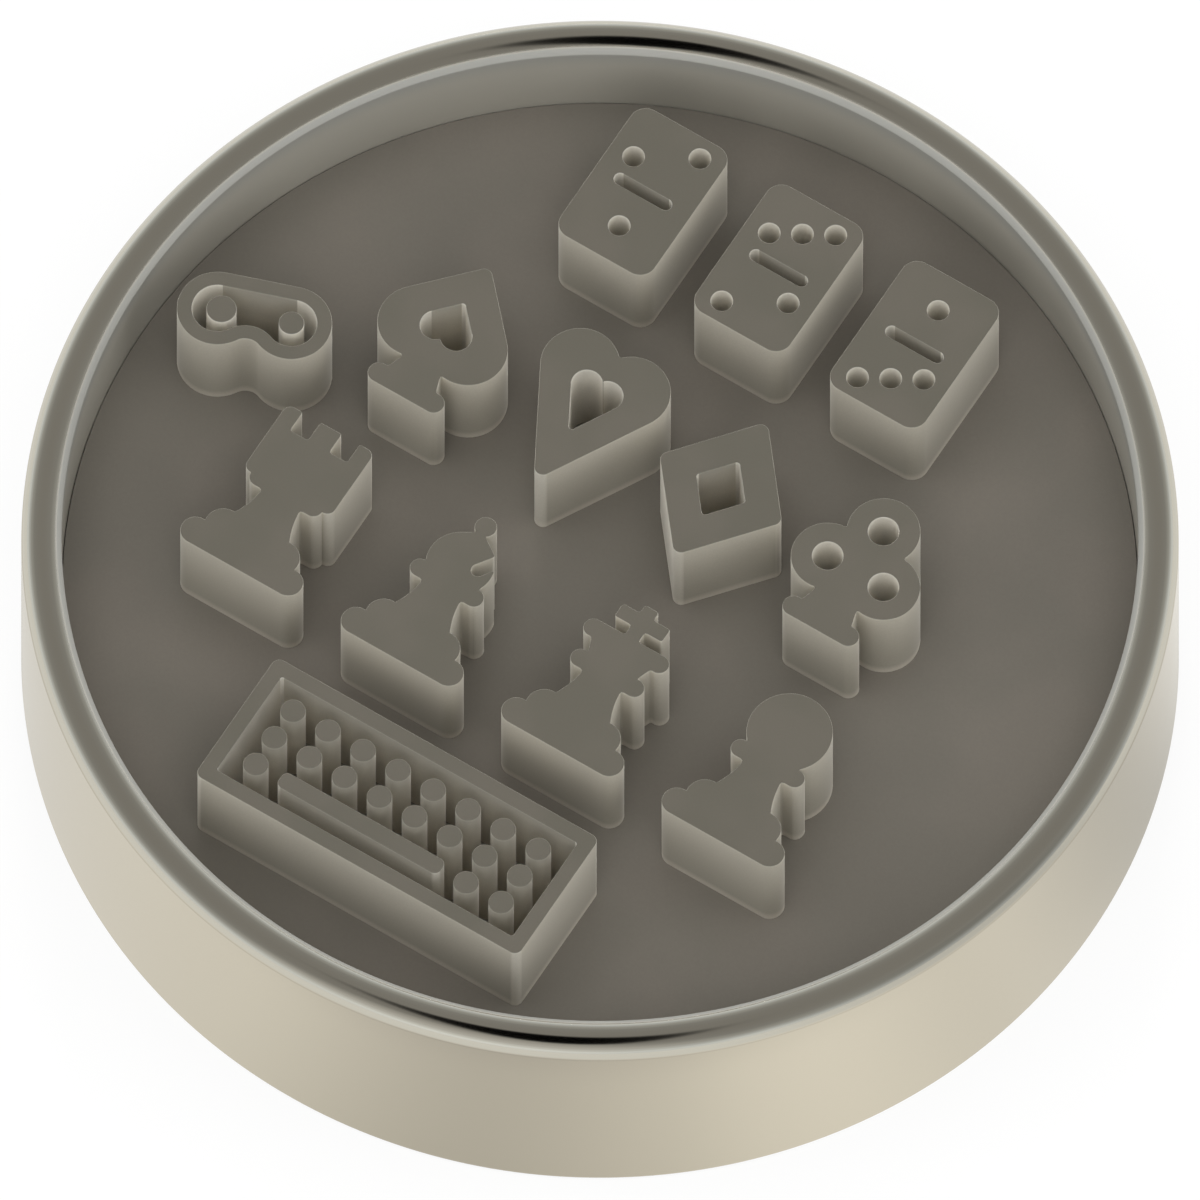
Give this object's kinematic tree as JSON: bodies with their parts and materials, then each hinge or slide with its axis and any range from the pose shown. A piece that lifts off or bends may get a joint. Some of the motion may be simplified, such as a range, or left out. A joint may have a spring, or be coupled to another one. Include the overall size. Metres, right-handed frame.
{
  "type": "game token",
  "caption": "Round metal game token with a bright turned rim, a recessed matte face and tall raised game motifs, a gamepad and a keyboard.",
  "frame": {"origin": "middle of the flat back, on the surface that the token lies on", "axes": "+Z out of the face, +X along the rows of motifs, +Y towards the top of the rows"},
  "size_m": [0.04, 0.04, 0.01],
  "materials": {
    "bright_case": "bright turned and polished, warm nickel",
    "matte_field": "fine matte, dark warm nickel",
    "satin_relief": "satin, warm nickel with bright worn edges"
  },
  "bodies": {
    "root": {"rim_case": "bright_case", "face_disc": "matte_field", "chess_bishop": "satin_relief", "chess_king": "satin_relief", "chess_pawn": "satin_relief", "chess_rook": "satin_relief", "domino_left": "satin_relief", "domino_middle": "satin_relief", "domino_right": "satin_relief", "gamepad_frame": "satin_relief", "gamepad_left_stick": "satin_relief", "gamepad_right_stick": "satin_relief", "key_bottom_1": "satin_relief", "key_bottom_7": "satin_relief", "key_bottom_8": "satin_relief", "key_middle_1": "satin_relief", "key_middle_2": "satin_relief", "key_middle_3": "satin_relief", "key_middle_4": "satin_relief", "key_middle_5": "satin_relief", "key_middle_6": "satin_relief", "key_middle_7": "satin_relief", "key_middle_8": "satin_relief", "key_top_1": "satin_relief", "key_top_2": "satin_relief", "key_top_3": "satin_relief", "key_top_4": "satin_relief", "key_top_5": "satin_relief", "key_top_6": "satin_relief", "key_top_7": "satin_relief", "key_top_8": "satin_relief", "keyboard_frame": "satin_relief", "space_bar": "satin_relief", "suit_club": "satin_relief", "suit_diamond": "satin_relief", "suit_heart": "satin_relief", "suit_spade": "satin_relief"}
  },
  "joints": []
}
